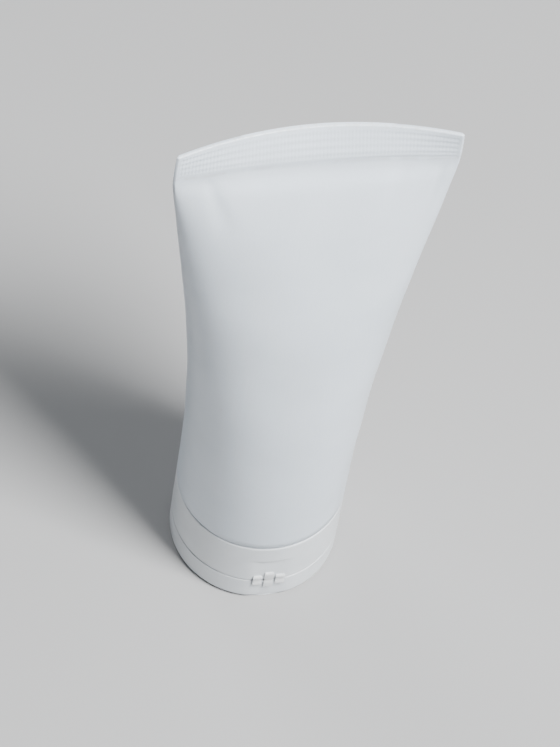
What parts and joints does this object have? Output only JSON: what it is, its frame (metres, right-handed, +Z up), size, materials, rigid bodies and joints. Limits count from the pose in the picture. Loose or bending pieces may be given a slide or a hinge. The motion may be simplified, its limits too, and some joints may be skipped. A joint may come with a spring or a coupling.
{
  "type": "shaving cream tube",
  "caption": "White plastic squeeze tube of shaving cream standing on its flip-top screw cap, with a crimped, slightly bowed end seal at the top.",
  "frame": {"origin": "centre of the lid's flat outer face, on which the tube stands", "axes": "+Z up along the tube's axis, from the lid to the end seal; X along the end seal; -Y is the lid's hinge side, +Y its thumb scoop side"},
  "size_m": [0.0624, 0.04, 0.1617],
  "materials": {
    "sleeve_film": "cool white polyethylene, semi-gloss",
    "head_moulding": "cool white polyethylene, as moulded",
    "cap_moulding": "white polypropylene, semi-gloss",
    "hinge_moulding": "white polypropylene, thin and flexed",
    "gasket_foam": "closed-cell polyethylene foam",
    "cream": "thick white cream with a soft sheen"
  },
  "bodies": {
    "cap": {"cap_base": "cap_moulding", "hinge_film_left": "hinge_moulding", "hinge_film_right": "hinge_moulding", "hinge_strap": "hinge_moulding"},
    "lid": {"cap_lid": "cap_moulding"},
    "gasket": {"neck_gasket": "gasket_foam"},
    "tube": {"tube_sleeve": "sleeve_film", "tube_shoulder": "head_moulding", "shaving_cream": "cream"}
  },
  "joints": [
    {"name": "lid_flip", "type": "hinge", "parent": "cap", "child": "lid", "pos_m": [0, -0.01975, 0.00815], "axis": [-1, 0, 0], "range_deg": [0, 175], "deforming": ["hinge_film_left", "hinge_film_right", "hinge_strap"]},
    {"name": "tube_lift", "type": "slide", "parent": "cap", "child": "gasket", "axis": [0, 0, 1], "range_m": [0, 0.00525]},
    {"name": "tube_unscrew", "type": "hinge", "parent": "gasket", "child": "tube", "pos_m": [0, 0, 0.015], "axis": [0, 0, 1], "range_deg": [0, 631]}
  ],
  "couplings": [
    {"joint": "tube_unscrew", "follows": "tube_lift", "rad_per_m": 2094.4}
  ]
}
